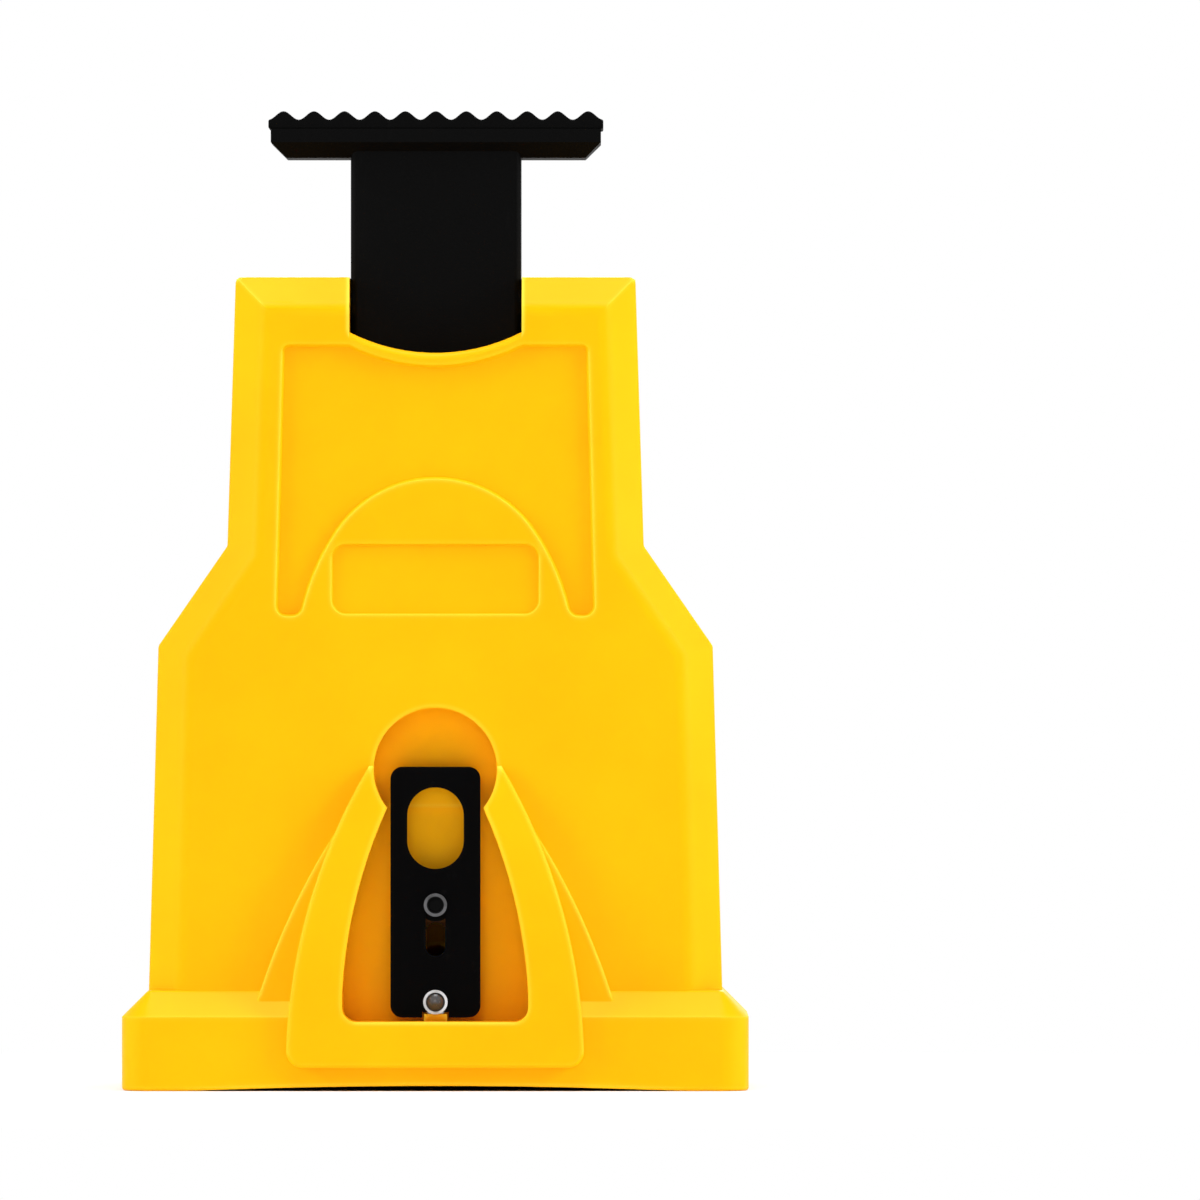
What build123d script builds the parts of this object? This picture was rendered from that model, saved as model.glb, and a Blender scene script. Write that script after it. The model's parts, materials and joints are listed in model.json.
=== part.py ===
import os
from math import cos, pi, sin, sqrt

from build123d import *

os.makedirs("parts", exist_ok=True)

# Housing seen from the front. X runs across, Z runs up, the front faces -Y,
# and the middle plane of the guide bar that goes inside is y = 0.
housing_height = 136.6
top_width = 67.2
waist_width = 70.0
waist_height = 91.4
shoulder_width = 93.2
shoulder_height = 74.6
base_width = 105.2
base_height = 16.8
base_bevel = 4.4
base_corner_radius = 5.0
arch_rise = 0.9
arch_foot_length = 10.0

# Housing seen from the side
neck_depth = 20.0
parting_gap = 0.2
front_base_depth = 26.2
rear_base_depth = 28.0
face_bevel = 5.2
face_radius = 4.0
edge_radius = 1.2
foot_radius = 0.6
wall = 2.5
floor_thickness = 3.4
overrun = 5.0

# Push plunger
neck_width = 28.7
neck_corner_radius = 1.2
neck_clearance = 0.15
neck_back_clearance = 0.3
stroke = 10.0
head_gap = 20.2
head_width = 55.6
head_thickness = 4.9
head_overhang = 1.5
head_bevel = 2.6
yoke_drop = 19.6
yoke_height = 12.5
yoke_width = 51.8
yoke_thickness = 16.0
yoke_corner_radius = 2.7
window_width = 11.7
window_sill = 2.9
window_corner_radius = 1.5
post_width = 8.0
post_thickness = 3.0
stop_gap = 0.2
spring_pocket_diameter = 9.0
spring_pocket_depth = 22.0
core_wall = 2.6
guide_clearance = 0.3

# Tread pad on the plunger's head
tread_count = 11
tread_height = 1.7
tread_base = 1.4
tread_tip_radius = 0.9
tread_overhang = 0.4
tread_stud_diameter = 4.0
tread_stud_length = 3.0
tread_stud_spacing = 30.0
press_clearance = 0.02

# Sharpening stone and its carrier
stone_outer_radius = 29.0
stone_inner_radius = 40.0
stone_thickness = 11.2
stone_depth = 12.0
stone_groove_depth = 1.5
stone_groove_height = 2.6
stone_clearance = 0.1
carrier_web = 3.9
carrier_side_gap = 0.5
carrier_end_wall = 2.6
carrier_depth = 15.0
carrier_tip_drop = 2.5
carrier_tip_taper = 1.2
carrier_tip_height = 7.0
snap_spacing = 33.4
snap_width = 4.4
snap_height = 2.6
snap_clearance = 0.1
snap_root_share = 0.5

# Return spring
spring_wire = 0.9
spring_mean_diameter = 6.6
spring_turns = 9
spring_bend_radius = 1.3
spring_seat_gap = 0.2
spring_stub_diameter = 4.2
spring_stub_height = 2.5

# Top hinge of the front cover
hinge_pin_diameter = 2.5
barrel_radius = 3.0
hinge_top_gap = 0.2
arm_width = 9.8
arm_tail = 5.0
knuckle_gap = 0.4
swing_clearance = 0.4
ear_reach = 9.0
ear_cutback = 5.2
pin_running_clearance = 0.05
pin_end_gap = 0.3
pin_end_chamfer = 0.3

# Neck cut-out, sunk panel and label recess on the cover's face
cutout_side_drop = 9.3
cutout_middle_drop = 12.8
lip_width = 2.1
lip_radius = 1.2
lip_neck_gap = 0.5
panel_depth = 1.0
recess_taper = 22
panel_top_drop = 11.4
panel_top_width = 51.4
panel_corner_radius = 1.2
leg_spacing = 49.4
leg_width = 4.4
leg_drop = 57.1
leg_round_share = 0.42
dome_drop = 34.0
dome_flare = 2.6
dome_turn = 56
label_width = 35.0
label_height = 11.9
label_radius = 2.5
label_depth = 0.6
label_drop = 50.8

# Raised surround and pocket of the latch
surround_depth = 28.0
surround_top = 54.5
surround_low = 3.9
surround_top_width = 22.2
surround_low_width = 50.0
surround_corner_radius = 2.8
surround_edge_radius = 0.6
facing_share = 0.8
ramp_top_rise = 0.5
ramp_front = 10.0
wing_top = 44.0
wing_top_width = 32.8
wing_top_rise = 0.5
wing_middle = 30.2
wing_middle_width = 48.1
wing_low = 15.1
wing_low_width = 59.8
wing_low_rise = 1.8
wing_edge_radius = 0.4
pocket_low = 11.6
pocket_cusp = 47.4
pocket_cusp_width = 16.2
pocket_middle = 32.2
pocket_middle_width = 26.6
pocket_low_width = 31.2
pocket_straight_top = 16.5
pocket_corner_radius = 2.4
pocket_depth = 15.2
finger_recess_radius = 10.35
finger_recess_height = 53.9
finger_recess_depth = 16.0

# Slide latch
plate_width = 15.1
plate_low = 12.2
plate_top = 54.3
plate_thickness = 1.2
plate_depth = 18.0
plate_corner_radius = 2.0
plate_notch_width = 4.5
plate_notch_height = 0.9
notch_clearance = 0.3
finger_hole_width = 9.5
finger_hole_height = 13.7
finger_hole_middle = 44.0
latch_travel = 6.8
latch_end_gap = 0.1
plate_slot_clearance = 0.15
stud_height = 31.1
stud_shank_diameter = 3.0
stud_head_diameter = 3.9
stud_head_thickness = 0.7
stud_head_gap = 0.1
stud_bore_diameter = 2.5
stud_bore_depth = 1.4
stud_seat_wall = 1.5
stud_locating_diameter = 4.4
stud_shoulder_gap = 0.3
stud_pilot_diameter = 3.4
stud_pilot_length = 1.6
latch_pin_height = 14.8
latch_pin_diameter = 3.0
latch_pin_head_diameter = 4.1
latch_pin_head_thickness = 1.3
latch_pin_rim_width = 0.45
latch_pin_rim_thickness = 0.8
latch_pin_dome_share = 0.75
latch_pin_neck_diameter = 1.6
latch_pin_tip_length = 1.9
latch_pin_lock_gap = 0.3
latch_pin_slot_clearance = 0.2
collar_diameter = 4.6
collar_thickness = 0.7
washer_diameter = 5.6
washer_thickness = 0.3
washer_bore_clearance = 0.1
washer_plate_gap = 0.15
latch_pad_width = 12.0
latch_pad_low = 28.2
latch_pad_top = 34.0
tip_chamfer = 0.5

# Guide bar seat inside the housing
bar_gap = 6.0
boss_width = 18.0
boss_low = 8.0
boss_top = 37.0
platform_width = 29.0
platform_top = 60.0
nose_rib_radius = 26.0
nose_rib_thickness = 2.2
nose_rib_centre = 40.0
bar_slot_width = 80.0
bar_slot_rear = 7.0
keyhole_diameter = 4.8
keyhole_neck_clearance = 0.15
stud_hole_clearance = 0.3
stud_hole_drop = 0.9

# Ribs inside the shells
rib_thickness = 2.0
rib_height = 3.0
rib_count = 4
rib_low = 24.0
rib_pitch = 13.0
rib_rim_gap = 1.0
guide_rib_count = 3
rail_spacing = 36.0

# Values that follow from the sizes above
rim_depth = neck_depth / 2
cover_rim = rim_depth + parting_gap
front_face_depth = front_base_depth - base_bevel
rear_face_depth = rear_base_depth - base_bevel
foot_width = base_width - 2 * base_bevel
body_low = floor_thickness - wall
bevel_thinning_share = 2 - sqrt(2)
inner_face_bevel = face_bevel - wall * bevel_thinning_share
inner_base_bevel = base_bevel - wall * bevel_thinning_share
base_depth = rear_base_depth + front_base_depth
base_middle = (rear_base_depth - front_base_depth) / 2

head_low = housing_height + head_gap
head_top = head_low + head_thickness
head_depth = neck_depth + 2 * head_overhang
yoke_top = housing_height - yoke_drop
yoke_low = yoke_top - yoke_height
window_low = yoke_low + window_sill
post_low = window_low + stop_gap
post_top = post_low + post_thickness
window_top = post_top + stroke + stop_gap
spring_pocket_top = window_top + spring_pocket_depth
guide_low = yoke_low - stroke

carrier_half = yoke_width / 2 - carrier_side_gap
carrier_tip_half = carrier_half - carrier_tip_taper
stone_top = yoke_low - carrier_web
stone_half = carrier_half - carrier_end_wall - stone_clearance
stone_outer_centre = stone_top - stone_outer_radius
stone_inner_centre = stone_top - stone_thickness - stone_inner_radius
stone_end_high = stone_outer_centre + sqrt(stone_outer_radius**2 - stone_half**2)
stone_end_low = stone_inner_centre + sqrt(stone_inner_radius**2 - stone_half**2)
stone_groove_middle = (stone_end_high + stone_end_low) / 2
carrier_tip = stone_end_low - carrier_tip_drop

hinge_y = -(rim_depth + parting_gap / 2)
hinge_z = housing_height - hinge_top_gap - barrel_radius
arm_inner = neck_width / 2 + neck_clearance
arm_outer = arm_inner + arm_width
ear_inner = arm_outer + knuckle_gap
ear_outer = top_width / 2
arm_sweep = sqrt(arm_tail**2 + barrel_radius**2) + swing_clearance
pin_end = ear_outer - wall / 2

tread_stud_places = (-tread_stud_spacing / 2, tread_stud_spacing / 2)
snap_places = (-snap_spacing / 2, snap_spacing / 2)

plate_front = plate_depth + plate_thickness
pad_front = plate_depth - washer_thickness - washer_plate_gap
plate_slot_half = stud_shank_diameter / 2 + plate_slot_clearance
latch_pin_slot_half = latch_pin_diameter / 2 + latch_pin_slot_clearance
latch_pin_unlocked = latch_pin_height + latch_travel
bar_seat = bar_gap / 2
platform_back = bar_seat + wall


def half_width(height):
    """Half of the housing's width at a height, with its lower sides run on down to the foot."""
    if height < shoulder_height:
        share = (height - base_height) / (shoulder_height - base_height)
        return (foot_width + (shoulder_width - foot_width) * share) / 2
    share = (height - waist_height) / (housing_height - waist_height)
    return (waist_width + (top_width - waist_width) * share) / 2


def housing_edge(low):
    """Corners of the housing's outline, from the foot up and over."""
    right = [
        (half_width(low), low),
        (shoulder_width / 2, shoulder_height),
        (waist_width / 2, waist_height),
        (top_width / 2, housing_height),
    ]
    return right + [(-x, z) for x, z in reversed(right)]


def front_plane(depth):
    """Plane facing the front at a distance in front of the middle plane."""
    return Plane.XZ.offset(depth)


def block(x_span, y_span, z_span, mode=Mode.ADD):
    """Box between two places on each axis, joined to the part being built."""
    middle = [(low + high) / 2 for low, high in (x_span, y_span, z_span)]
    size = [high - low for low, high in (x_span, y_span, z_span)]
    with Locations(Vector(*middle)):
        Box(*size, mode=mode)


def both_sides(low, high):
    """The same span across X on the right and on the left."""
    return [(low, high), (-high, -low)]


def hinge_cylinder(x_span, radius, mode=Mode.ADD):
    """Cylinder round the hinge axis between two places across X."""
    with Locations(Location(((x_span[0] + x_span[1]) / 2, hinge_y, hinge_z), (0, 90, 0))):
        Cylinder(radius, x_span[1] - x_span[0], mode=mode)


def snap_corners(place, spread):
    """Corners of a snap on top of the carrier, or of its notch if spread."""
    half = snap_width / 2 + spread
    root = yoke_low - carrier_web * snap_root_share
    return [
        (place - half, root),
        (place - half, yoke_low),
        (place, yoke_low + snap_height + spread),
        (place + half, yoke_low),
        (place + half, root),
    ]


def bell_line(top, middle, side, low):
    """Outline that widens from a straight top along two arcs, then drops to a straight low edge."""
    ThreePointArc(top, middle, side)
    Polyline(side, (side[0], low), (-side[0], low), (-side[0], side[1]))
    ThreePointArc((-side[0], side[1]), (-middle[0], middle[1]), (-top[0], top[1]))
    Line((-top[0], top[1]), top)


def pocket_line():
    """Inner edge of the latch surround, from its cusps down to its lower corners."""
    cusp = (pocket_cusp_width / 2, pocket_cusp)
    middle = (pocket_middle_width / 2, pocket_middle)
    side = (pocket_low_width / 2, pocket_straight_top)
    bell_line(cusp, middle, side, pocket_low)


def nose_rib(depth_from, depth_to):
    """Arched rib that backs the edge of the guide bar's nose."""
    outer = nose_rib_radius
    inner = nose_rib_radius - nose_rib_thickness
    centre = nose_rib_centre
    with BuildSketch(front_plane(depth_from)) as rib:
        with BuildLine():
            ThreePointArc((-outer, centre), (0, centre + outer), (outer, centre))
            Polyline((outer, centre), (outer, base_height), (inner, base_height), (inner, centre))
            ThreePointArc((inner, centre), (0, centre + inner), (-inner, centre))
            Polyline((-inner, centre), (-inner, base_height), (-outer, base_height), (-outer, centre))
        make_face()
    extrude(rib.sketch, amount=depth_to - depth_from)


# Base flange all round, with an arched underside and flat feet at its ends
with BuildPart() as base_block:
    with BuildSketch(Plane.XY):
        with Locations((0, base_middle)):
            RectangleRounded(base_width, base_depth, base_corner_radius)
    extrude(amount=base_height)
    chamfer(base_block.faces().sort_by(Axis.Z)[-1].edges(), length=base_bevel)
    fillet(base_block.edges().group_by(Axis.Z)[-1], radius=edge_radius)
    fillet(base_block.edges().group_by(Axis.Z)[0], radius=foot_radius)
    with BuildSketch(Plane.XZ):
        with BuildLine():
            arch_half = base_width / 2 - arch_foot_length
            ThreePointArc((-arch_half, 0), (0, arch_rise), (arch_half, 0))
            Line((arch_half, 0), (-arch_half, 0))
        make_face()
    extrude(amount=base_depth, both=True, mode=Mode.SUBTRACT)

with BuildPart() as base_hollow:
    with BuildSketch(Plane.XY.offset(floor_thickness)):
        with Locations((0, base_middle)):
            Rectangle(base_width - 2 * wall, base_depth - 2 * wall)
    extrude(amount=base_height - wall - floor_thickness)
    chamfer(base_hollow.faces().sort_by(Axis.Z)[-1].edges(), length=inner_base_bevel)


# Front cover: hollow, latch surround, then the shell itself
with BuildPart() as cover_hollow:
    with BuildSketch(front_plane(cover_rim - overrun)):
        with BuildLine():
            Polyline(*housing_edge(body_low), close=True)
        make_face()
        offset(amount=-wall, kind=Kind.INTERSECTION, mode=Mode.REPLACE)
    extrude(amount=front_face_depth - wall - cover_rim + overrun)
    chamfer(cover_hollow.faces().sort_by(Axis.Y)[0].edges(), length=inner_face_bevel)

# Low wings beside the latch surround, their faces rising a little towards the base
with BuildPart() as wings:
    wing_foot = base_height - base_bevel
    wing_slope = (wing_low_rise - wing_top_rise) / (wing_top - wing_low)
    wing_foot_rise = wing_low_rise + wing_slope * (wing_low - wing_foot)
    with BuildSketch(front_plane(front_face_depth - wall / 2)):
        with BuildLine():
            bell_line(
                (wing_top_width / 2, wing_top),
                (wing_middle_width / 2, wing_middle),
                (wing_low_width / 2, wing_low),
                wing_foot,
            )
        make_face()
    extrude(amount=surround_depth - front_face_depth)
    with BuildSketch(Plane.YZ):
        with BuildLine():
            Polyline(
                (-(front_face_depth + wing_top_rise), wing_top),
                (-(front_face_depth + wing_foot_rise), wing_foot),
                (-(surround_depth + overrun), wing_foot),
                (-(surround_depth + overrun), wing_top),
                close=True,
            )
        make_face()
    extrude(amount=wing_low_width, both=True, mode=Mode.SUBTRACT)
    fillet(wings.edges().filter_by(GeomType.ELLIPSE), radius=wing_edge_radius)

with BuildPart() as surround:
    with BuildSketch(front_plane(surround_depth)) as surround_rim:
        with BuildLine():
            low_corner = (surround_low_width / 2, surround_low)
            top_corner = (surround_top_width / 2, surround_top)
            TangentArc(low_corner, top_corner, tangent=(0, 1))
            Line(top_corner, (-top_corner[0], surround_top))
            TangentArc((-low_corner[0], surround_low), (-top_corner[0], surround_top), tangent=(0, 1))
            Line((-low_corner[0], surround_low), low_corner)
        make_face()
        fillet(surround_rim.vertices().group_by(Axis.Y)[0], radius=surround_corner_radius)
    extrude(amount=front_face_depth - wall - surround_depth)
    with BuildSketch(Plane.YZ):
        with BuildLine():
            ramp_low = (-surround_depth, ramp_front)
            ramp_high = (-(front_face_depth + ramp_top_rise), surround_top + overrun)
            TangentArc(ramp_low, ramp_high, tangent=(0, 1))
            Polyline(
                ramp_high,
                (-surround_depth - overrun, surround_top + overrun),
                (-surround_depth - overrun, ramp_front),
                ramp_low,
            )
        make_face()
    extrude(amount=surround_low_width, both=True, mode=Mode.SUBTRACT)
    front_edges = [e for f in surround.faces() if f.normal_at().Y < -facing_share for e in f.edges()]
    fillet([e for e in front_edges if front_edges.count(e) == 1], radius=surround_edge_radius)

with BuildPart() as front_cover:
    with BuildSketch(front_plane(cover_rim)):
        with BuildLine():
            Polyline(*housing_edge(body_low), close=True)
        make_face()
    extrude(amount=front_face_depth - cover_rim)
    chamfer(front_cover.faces().sort_by(Axis.Y)[0].edges(), length=face_bevel)
    fillet(front_cover.faces().sort_by(Axis.Y)[0].edges(), radius=face_radius)
    cover_side = front_cover.edges().filter_by(lambda e: e.center().Y > face_radius - front_face_depth)
    fillet(cover_side - front_cover.faces().sort_by(Axis.Y)[-1].edges(), radius=edge_radius)
    add(base_block.part)
    split(bisect_by=front_plane(cover_rim), keep=Keep.TOP)
    add(wings.part)
    add(surround.part)
    add(cover_hollow.part, mode=Mode.SUBTRACT)
    add(base_hollow.part, mode=Mode.SUBTRACT)

    # Walls of the latch pocket and of the finger recess inside the cover
    with BuildSketch(front_plane(pocket_depth - wall)):
        with BuildLine():
            pocket_line()
        make_face()
        offset(amount=wall)
    extrude(amount=front_face_depth - pocket_depth + wall)
    pocket_wall_half = pocket_low_width / 2 + wall
    pocket_wall_front = wall / 2 - front_base_depth
    block(
        (-pocket_wall_half, pocket_wall_half),
        (pocket_wall_front, wall - pocket_depth),
        (pocket_low - wall, base_height),
    )
    with BuildSketch(front_plane(finger_recess_depth - wall)):
        with Locations((0, finger_recess_height)):
            Circle(finger_recess_radius + wall)
    extrude(amount=front_face_depth - finger_recess_depth + wall)

    # Seat for the guide bar, nose rib and rails that hold the plunger back
    block((-boss_width / 2, boss_width / 2), (wall - pocket_depth, -bar_seat), (boss_low, boss_top))
    nose_rib(bar_seat, front_face_depth - wall / 2)
    for rail in both_sides((rail_spacing - rib_thickness) / 2, (rail_spacing + rib_thickness) / 2):
        rail_face = -(yoke_thickness / 2 + guide_clearance)
        block(rail, (wall / 2 - front_face_depth, rail_face), (guide_low, yoke_top))

    # Latch pocket and finger recess
    with BuildSketch(front_plane(pocket_depth)) as pocket:
        with BuildLine():
            pocket_line()
        make_face()
        fillet(pocket.vertices().group_by(Axis.Y)[0], radius=pocket_corner_radius)
    extrude(amount=surround_depth - pocket_depth + overrun, mode=Mode.SUBTRACT)
    with BuildSketch(front_plane(finger_recess_depth)):
        with Locations((0, finger_recess_height)):
            Circle(finger_recess_radius)
    extrude(amount=surround_depth - finger_recess_depth + overrun, mode=Mode.SUBTRACT)

    # Pad behind the latch plate, the tab in its notch, and the holes for stud and pin
    pad_half = latch_pad_width / 2
    block((-pad_half, pad_half), (-pad_front, wall / 2 - pocket_depth), (latch_pad_low, latch_pad_top))
    tab_half = plate_notch_width / 2 - notch_clearance
    tab_top = plate_low + plate_notch_height - notch_clearance
    block((-tab_half, tab_half), (-plate_front, -plate_depth), (pocket_low - wall / 2, tab_top))
    with BuildSketch(front_plane(bar_seat - overrun)):
        with Locations((0, stud_height)):
            Circle(stud_shank_diameter / 2 + press_clearance)
        pin_slot_low = latch_pin_height - latch_end_gap
        pin_slot_high = stud_height - stud_shank_diameter / 2 - stud_seat_wall - latch_pin_slot_half
        with Locations(Location((0, (pin_slot_low + pin_slot_high) / 2), 90)):
            SlotCenterToCenter(pin_slot_high - pin_slot_low, 2 * latch_pin_slot_half)
    extrude(amount=pad_front - bar_seat + 2 * overrun, mode=Mode.SUBTRACT)

    # Cut-out for the plunger's neck, with a lip that returns to the neck
    arc_side = housing_height - cutout_side_drop
    arc_middle = housing_height - cutout_middle_drop
    lip_outer = arm_inner + lip_width
    with BuildSketch(front_plane(cover_rim + lip_neck_gap)):
        with BuildLine():
            lip_side = arc_side - lip_width
            lip_top = housing_height - face_bevel
            ThreePointArc((-lip_outer, lip_side), (0, arc_middle - lip_width), (lip_outer, lip_side))
            Polyline(
                (lip_outer, lip_side), (lip_outer, lip_top), (-lip_outer, lip_top), (-lip_outer, lip_side)
            )
        make_face()
    extrude(amount=front_face_depth - wall / 2 - cover_rim - lip_neck_gap)
    with BuildSketch(front_plane(cover_rim - overrun)):
        with BuildLine():
            ThreePointArc((-arm_inner, arc_side), (0, arc_middle), (arm_inner, arc_side))
            Polyline(
                (arm_inner, arc_side),
                (arm_inner, housing_height + overrun),
                (-arm_inner, housing_height + overrun),
                (-arm_inner, arc_side),
            )
        make_face()
    extrude(amount=front_face_depth - cover_rim + 2 * overrun, mode=Mode.SUBTRACT)
    lip_edges = front_cover.edges(Select.LAST).filter_by(GeomType.CIRCLE).group_by(Axis.Y)[0]
    fillet(lip_edges, radius=lip_radius)

    # Sunk panel round the raised dome, and the bare label recess on the dome
    panel_top = housing_height - panel_top_drop
    leg_low = housing_height - leg_drop
    leg_outer = ((leg_spacing + leg_width) / 2, leg_low)
    leg_inner = ((leg_spacing - leg_width) / 2, leg_low)
    lip_end = (arm_inner, panel_top)
    with BuildSketch(front_plane(front_face_depth)) as panel:
        with BuildLine():
            TangentArc((0, arc_middle - lip_width), lip_end, tangent=(1, 0))
            Polyline(lip_end, (panel_top_width / 2, panel_top), leg_outer, leg_inner)
            dome = JernArc((0, housing_height - dome_drop), (1, 0), leg_inner[0] - dome_flare, -dome_turn)
            TangentArc(dome @ 1, leg_inner, tangent=dome % 1)
            mirror(about=Plane.YZ)
        make_face()
        top_corners = [v for v in panel.vertices() if abs(v.Y - panel_top) < panel_depth]
        fillet(top_corners, radius=panel_corner_radius)
        fillet(panel.vertices().group_by(Axis.Y)[0], radius=leg_width * leg_round_share)
    extrude(amount=-panel_depth, taper=recess_taper, mode=Mode.SUBTRACT)
    with BuildSketch(front_plane(front_face_depth)):
        with Locations((0, housing_height - label_drop)):
            RectangleRounded(label_width, label_height, label_radius)
    extrude(amount=-label_depth, taper=recess_taper, mode=Mode.SUBTRACT)

    # Hinge arms, room for the rear body's ears, and the bores for the hinge pins
    for span in both_sides(arm_outer, half_width(hinge_z) + overrun):
        hinge_cylinder(span, barrel_radius + swing_clearance, Mode.SUBTRACT)
    for span in both_sides(arm_inner, arm_outer):
        hinge_cylinder(span, barrel_radius)
        block(span, (hinge_y, hinge_y + arm_tail), (hinge_z, hinge_z + barrel_radius))
        hinge_cylinder(span, hinge_pin_diameter / 2 + pin_running_clearance, Mode.SUBTRACT)

front_cover.part.label = "front_cover"
export_step(front_cover.part, "parts/front_cover.step")


# Rear body: hollow, then the shell itself
with BuildPart() as rear_hollow:
    with BuildSketch(front_plane(rim_depth + overrun)):
        with BuildLine():
            Polyline(*housing_edge(body_low), close=True)
        make_face()
        offset(amount=-wall, kind=Kind.INTERSECTION, mode=Mode.REPLACE)
    extrude(amount=-(rim_depth + overrun + rear_face_depth - wall))
    chamfer(rear_hollow.faces().sort_by(Axis.Y)[-1].edges(), length=inner_face_bevel)

with BuildPart() as rear_body:
    with BuildSketch(front_plane(rim_depth)):
        with BuildLine():
            Polyline(*housing_edge(body_low), close=True)
        make_face()
    extrude(amount=-(rim_depth + rear_face_depth))
    chamfer(rear_body.faces().sort_by(Axis.Y)[-1].edges(), length=face_bevel)
    fillet(rear_body.faces().sort_by(Axis.Y)[-1].edges(), radius=face_radius)
    body_side = rear_body.edges().filter_by(lambda e: e.center().Y < rear_face_depth - face_radius)
    fillet(body_side - rear_body.faces().sort_by(Axis.Y)[0].edges(), radius=edge_radius)
    add(base_block.part)
    split(bisect_by=front_plane(rim_depth), keep=Keep.BOTTOM)
    add(rear_hollow.part, mode=Mode.SUBTRACT)
    add(base_hollow.part, mode=Mode.SUBTRACT)

    # Slot in the floor for the guide bar and its chain
    slot_half = bar_slot_width / 2
    block(
        (-slot_half, slot_half),
        (-rim_depth - overrun, bar_slot_rear),
        (-overrun, floor_thickness + overrun),
        Mode.SUBTRACT,
    )

    # Platform behind the guide bar, hollow from below, with the nose rib round it
    platform_half = platform_width / 2
    recess_half = platform_half - wall
    spring_line = platform_top - platform_half
    with BuildSketch(front_plane(-bar_seat)):
        with BuildLine():
            Polyline(
                (-platform_half, spring_line),
                (-platform_half, body_low + wall / 2),
                (platform_half, body_low + wall / 2),
                (platform_half, spring_line),
            )
            ThreePointArc((platform_half, spring_line), (0, platform_top), (-platform_half, spring_line))
        make_face()
    guide_back = rear_face_depth - wall / 2
    extrude(amount=-(guide_back - bar_seat))
    nose_rib(-bar_seat, -guide_back)
    with BuildSketch(front_plane(-platform_back)):
        with BuildLine():
            Polyline(
                (-recess_half, spring_line),
                (-recess_half, -overrun),
                (recess_half, -overrun),
                (recess_half, spring_line),
            )
            ThreePointArc((recess_half, spring_line), (0, platform_top - wall), (-recess_half, spring_line))
        make_face()
    recess_back = guide_back - wall
    extrude(amount=-(recess_back - platform_back), mode=Mode.SUBTRACT)

    # Keyhole for the latch pin and hole for the guide stud, in the platform
    with BuildSketch(front_plane(-(bar_seat - wall))):
        with Locations((0, latch_pin_unlocked)):
            Circle(keyhole_diameter / 2)
        with Locations(Location((0, latch_pin_height + latch_travel / 2), 90)):
            keyhole_neck = latch_pin_neck_diameter + 2 * keyhole_neck_clearance
            SlotCenterToCenter(latch_travel + 2 * latch_end_gap, keyhole_neck)
        with Locations(Location((0, stud_height - stud_hole_drop / 2), 90)):
            SlotCenterToCenter(stud_hole_drop, stud_pilot_diameter + 2 * stud_hole_clearance)
    extrude(amount=-(platform_back - bar_seat + 2 * wall), mode=Mode.SUBTRACT)

    # Guides for the plunger's yoke, and ribs along the lower walls
    guide_inner = yoke_width / 2 + guide_clearance
    guide_span = (guide_inner, guide_inner + rib_thickness)
    rib_back = rear_face_depth - face_bevel
    for span in both_sides(*guide_span):
        block(span, (-yoke_thickness / 2, guide_back), (guide_low, yoke_top))
    for level in range(guide_rib_count):
        share = level / (guide_rib_count - 1)
        height = guide_low + (yoke_top - guide_low - rib_thickness) * share
        for span in both_sides(guide_inner + rib_thickness / 2, half_width(height) - wall / 2):
            block(span, (-yoke_thickness / 2, rib_back), (height, height + rib_thickness))
    for span in both_sides((rail_spacing - rib_thickness) / 2, (rail_spacing + rib_thickness) / 2):
        block(span, (yoke_thickness / 2 + guide_clearance, guide_back), (guide_low, yoke_top))
    for level in range(rib_count):
        height = rib_low + level * rib_pitch
        outer = half_width(height) - wall / 2
        for span in both_sides(outer - wall / 2 - rib_height, outer):
            block(span, (rib_rim_gap - rim_depth, rib_back), (height, height + rib_thickness))

    # Post through the plunger's window, with a stub for the return spring
    post_front = -spring_pocket_diameter / 2
    block((-post_width / 2, post_width / 2), (post_front, guide_back), (post_low, post_top))
    with Locations((0, 0, post_top + spring_stub_height / 2)):
        Cylinder(spring_stub_diameter / 2, spring_stub_height)

    # Opening for the neck, room for the cover's arms, and the ears of the hinge
    neck_half = neck_width / 2 + neck_clearance
    notch_low = housing_height - 2 * wall
    above = housing_height + overrun
    block(
        (-neck_half, neck_half),
        (-rim_depth - overrun, neck_depth / 2 + neck_back_clearance),
        (notch_low, above),
        Mode.SUBTRACT,
    )
    for span in both_sides(neck_width / 2 - neck_clearance, ear_inner):
        hinge_cylinder(span, arm_sweep, Mode.SUBTRACT)
    for span in both_sides(ear_inner, ear_outer + overrun):
        block(span, (-rim_depth - overrun, hinge_y + ear_cutback), (hinge_z, above), Mode.SUBTRACT)
    for span in both_sides(ear_inner, ear_outer):
        hinge_cylinder(span, barrel_radius)
        block(span, (hinge_y, hinge_y + ear_reach), (hinge_z - ear_reach, hinge_z))
    for span in both_sides(ear_inner, pin_end):
        hinge_cylinder(span, hinge_pin_diameter / 2 + press_clearance, Mode.SUBTRACT)

rear_body.part.label = "rear_body"
export_step(rear_body.part, "parts/rear_body.step")


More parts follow.
